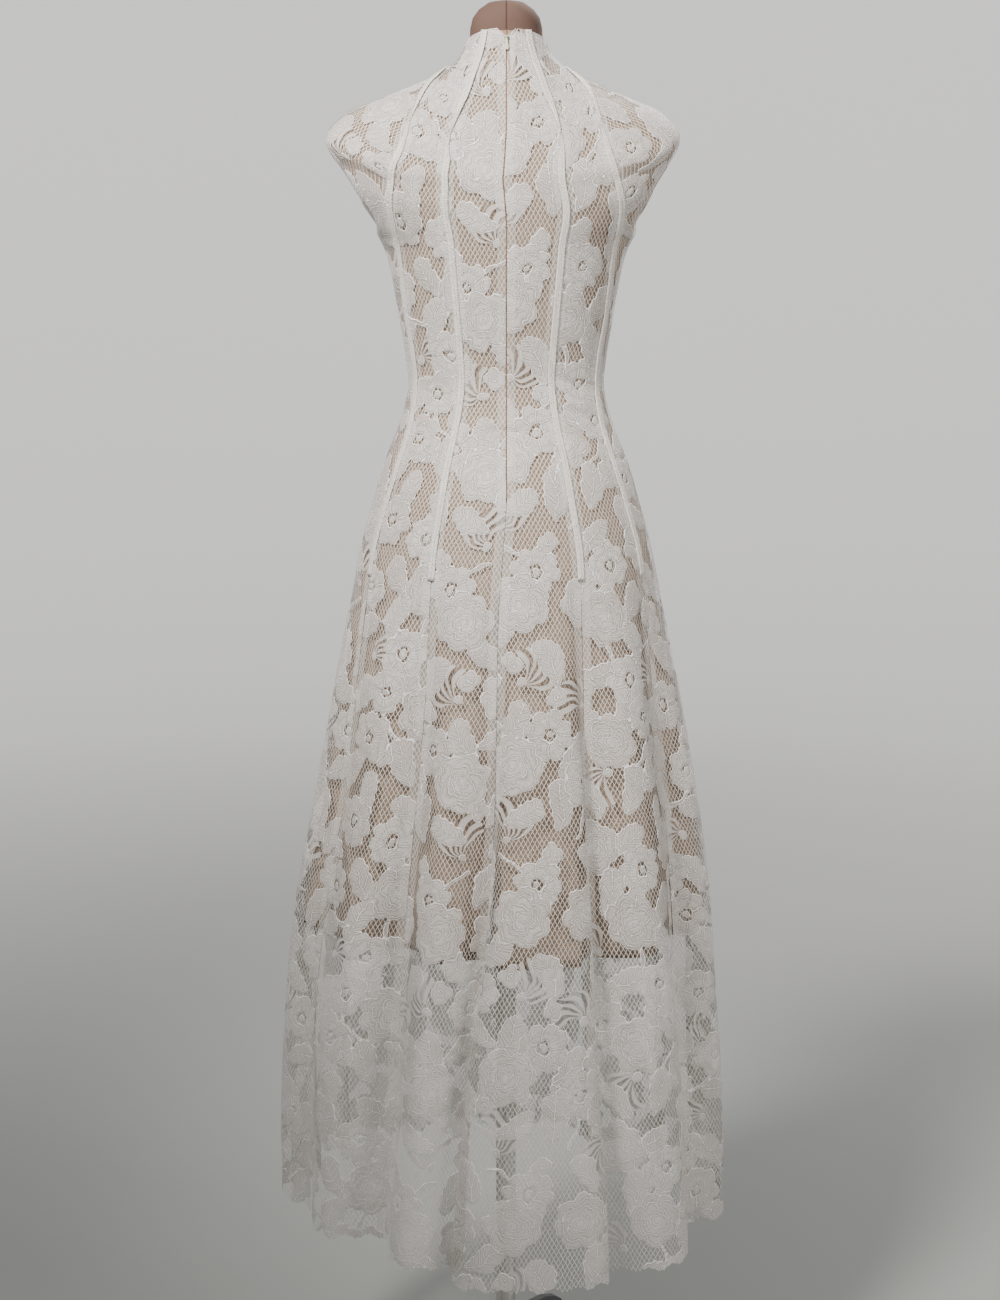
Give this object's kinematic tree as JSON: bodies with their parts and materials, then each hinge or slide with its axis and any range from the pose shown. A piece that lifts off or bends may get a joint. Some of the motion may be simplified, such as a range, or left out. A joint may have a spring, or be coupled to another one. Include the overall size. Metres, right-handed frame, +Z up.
{
  "type": "lace maxi dress on a dress form",
  "caption": "Sleeveless gored lace maxi dress with a stand collar and back zip, over a knee-length lining, on a limbless dress form with a five-legged stand.",
  "frame": {"origin": "on the floor under the middle of the stand", "axes": "+Z up, the dress faces -Y and its zip is at +Y, the wearer's left is at +X"},
  "size_m": [0.5544, 0.5097, 1.7675],
  "materials": {
    "lace": "ivory flower lace with corded outlines on hexagonal net",
    "tape": "ivory twill tape",
    "lining": "nude woven lining",
    "form_cloth": "taupe jersey stretched over the form",
    "zip_metal": "plated zinc",
    "cream_enamel": "cream enamel",
    "brushed_steel": "brushed chrome plate",
    "dark_steel": "black powder coat",
    "black_rubber": "matt"
  },
  "bodies": {
    "dress_on_form": {"lace_back_center_left": "lace", "lace_back_center_right": "lace", "lace_back_mid_left": "lace", "lace_back_mid_right": "lace", "lace_back_side_left": "lace", "lace_back_side_right": "lace", "lace_front_center": "lace", "lace_front_mid_left": "lace", "lace_front_mid_right": "lace", "lace_front_side_left": "lace", "lace_front_side_right": "lace", "tape_back_inner_left": "tape", "tape_back_inner_right": "tape", "tape_back_outer_left": "tape", "tape_back_outer_right": "tape", "tape_front_inner_left": "tape", "tape_front_inner_right": "tape", "tape_front_outer_left": "tape", "tape_front_outer_right": "tape", "lining_back_left": "lining", "lining_back_right": "lining", "lining_front": "lining", "zip_tape": "tape", "zip_slider": "zip_metal", "form_body": "form_cloth", "stand_pole": "brushed_steel", "stand_hub": "dark_steel", "stand_leg_1": "dark_steel", "stand_leg_2": "dark_steel", "stand_leg_3": "dark_steel", "stand_leg_4": "dark_steel", "stand_leg_5": "dark_steel", "stand_foot_1": "black_rubber", "stand_foot_2": "black_rubber", "stand_foot_3": "black_rubber", "stand_foot_4": "black_rubber", "stand_foot_5": "black_rubber"},
    "zip_pull_tab": {"zip_pull": "cream_enamel"}
  },
  "joints": [
    {"name": "zip_pull_hinge", "type": "hinge", "parent": "dress_on_form", "child": "zip_pull_tab", "pos_m": [0, 0.05504, 1.71899], "axis": [1, 0, 0], "range_deg": [0, 150]}
  ]
}
